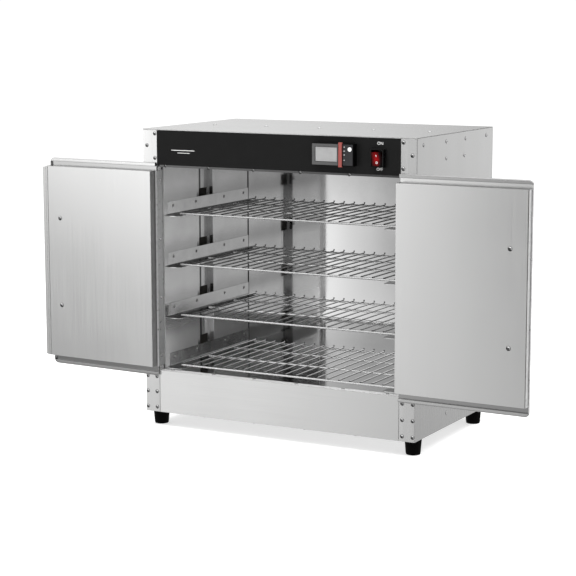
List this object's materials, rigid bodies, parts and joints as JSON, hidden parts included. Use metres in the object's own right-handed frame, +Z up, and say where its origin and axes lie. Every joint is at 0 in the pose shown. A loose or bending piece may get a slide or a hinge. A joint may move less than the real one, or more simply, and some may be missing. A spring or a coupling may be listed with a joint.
{
  "type": "food holding cabinet",
  "caption": "Countertop heated cabinet for holding food: insulated steel box with double doors, wire racks on angle rails, a thermostat controller and a power switch.",
  "frame": {"origin": "On the floor plane, under the middle of the cabinet with both doors open: on the cabinet's centre line, 188 mm behind its front plane.", "axes": "+X to the right seen from the front, +Y towards the back, +Z up. The doors open towards -Y."},
  "size_m": [1.1384, 0.4393, 0.641],
  "materials": {
    "outer_steel": "brushed stainless, fine horizontal grain",
    "polished_steel": "bright polished stainless",
    "wire_steel": "bright plated wire",
    "black_panel": "satin black film on sheet",
    "black_plastic": "moulded, satin",
    "grey_plastic": "pale grey display window",
    "red_plastic": "translucent red moulding",
    "red_lens": "glossy red rocker",
    "white_plastic": "moulded, satin",
    "rubber": "moulded rubber",
    "insulation": "mineral wool board",
    "heater_steel": "heat-darkened sheath"
  },
  "bodies": {
    "cabinet": {"left_side_panel": "outer_steel", "right_side_panel": "outer_steel", "top_cover": "outer_steel", "back_panel": "outer_steel", "base_panel": "outer_steel", "kick_panel": "outer_steel", "upper_left_corner_plate": "outer_steel", "upper_right_corner_plate": "outer_steel", "lower_left_corner_plate": "outer_steel", "lower_right_corner_plate": "outer_steel", "heat_shield": "outer_steel", "heater_bracket": "outer_steel", "control_fascia": "black_panel", "liner_left_wall": "polished_steel", "liner_right_wall": "polished_steel", "liner_back_wall": "polished_steel", "liner_ceiling": "polished_steel", "liner_floor": "polished_steel", "left_insulation": "insulation", "right_insulation": "insulation", "back_insulation": "insulation", "left_rail_1": "polished_steel", "right_rail_1": "polished_steel", "left_rail_2": "polished_steel", "right_rail_2": "polished_steel", "left_rail_3": "polished_steel", "right_rail_3": "polished_steel", "left_rail_4": "polished_steel", "right_rail_4": "polished_steel", "heater_element": "heater_steel", "temperature_probe": "wire_steel", "thermal_cutout": "black_plastic", "terminal_block": "black_plastic", "cord_gland": "black_plastic", "controller_housing": "black_plastic", "rocker_bezel": "black_plastic", "controller_window": "grey_plastic", "controller_clip": "red_plastic", "left_hinge_post_leaf": "outer_steel", "right_hinge_post_leaf": "outer_steel", "front_left_foot": "rubber", "front_right_foot": "rubber", "rear_left_foot": "rubber", "rear_right_foot": "rubber"},
    "left_door": {"left_door_skin": "outer_steel", "left_door_pan": "outer_steel", "left_door_insulation": "insulation", "left_door_handle": "outer_steel", "left_hinge_door_leaf": "outer_steel"},
    "right_door": {"right_door_skin": "outer_steel", "right_door_pan": "outer_steel", "right_door_insulation": "insulation", "right_door_handle": "outer_steel", "right_hinge_door_leaf": "outer_steel"},
    "rocker": {"rocker": "red_lens"},
    "button": {"controller_button": "white_plastic"},
    "rack_1": {"wire_rack_1": "wire_steel"},
    "rack_2": {"wire_rack_2": "wire_steel"},
    "rack_3": {"wire_rack_3": "wire_steel"},
    "rack_4": {"wire_rack_4": "wire_steel"}
  },
  "joints": [
    {"name": "left_door_hinge", "type": "hinge", "parent": "cabinet", "child": "left_door", "pos_m": [-0.2825, -0.194, 0.3437], "axis": [0, 0, -1], "range_deg": [-183, 0]},
    {"name": "right_door_hinge", "type": "hinge", "parent": "cabinet", "child": "right_door", "pos_m": [0.2825, -0.194, 0.3437], "axis": [0, 0, 1], "range_deg": [-178.5, 0]},
    {"name": "rocker_pivot", "type": "hinge", "parent": "cabinet", "child": "rocker", "pos_m": [0.235, -0.191, 0.599], "axis": [-1, 0, 0], "range_deg": [0, 24]},
    {"name": "button_press", "type": "slide", "parent": "cabinet", "child": "button", "axis": [0, 1, 0], "range_m": [0, 0.0012], "stiffness_N_per_m": 1500},
    {"name": "rack_1_slide", "type": "slide", "parent": "cabinet", "child": "rack_1", "axis": [0, -1, 0], "range_m": [0, 0.28]},
    {"name": "rack_2_slide", "type": "slide", "parent": "cabinet", "child": "rack_2", "axis": [0, -1, 0], "range_m": [0, 0.28]},
    {"name": "rack_3_slide", "type": "slide", "parent": "cabinet", "child": "rack_3", "axis": [0, -1, 0], "range_m": [0, 0.28]},
    {"name": "rack_4_slide", "type": "slide", "parent": "cabinet", "child": "rack_4", "axis": [0, -1, 0], "range_m": [0, 0.28]}
  ]
}
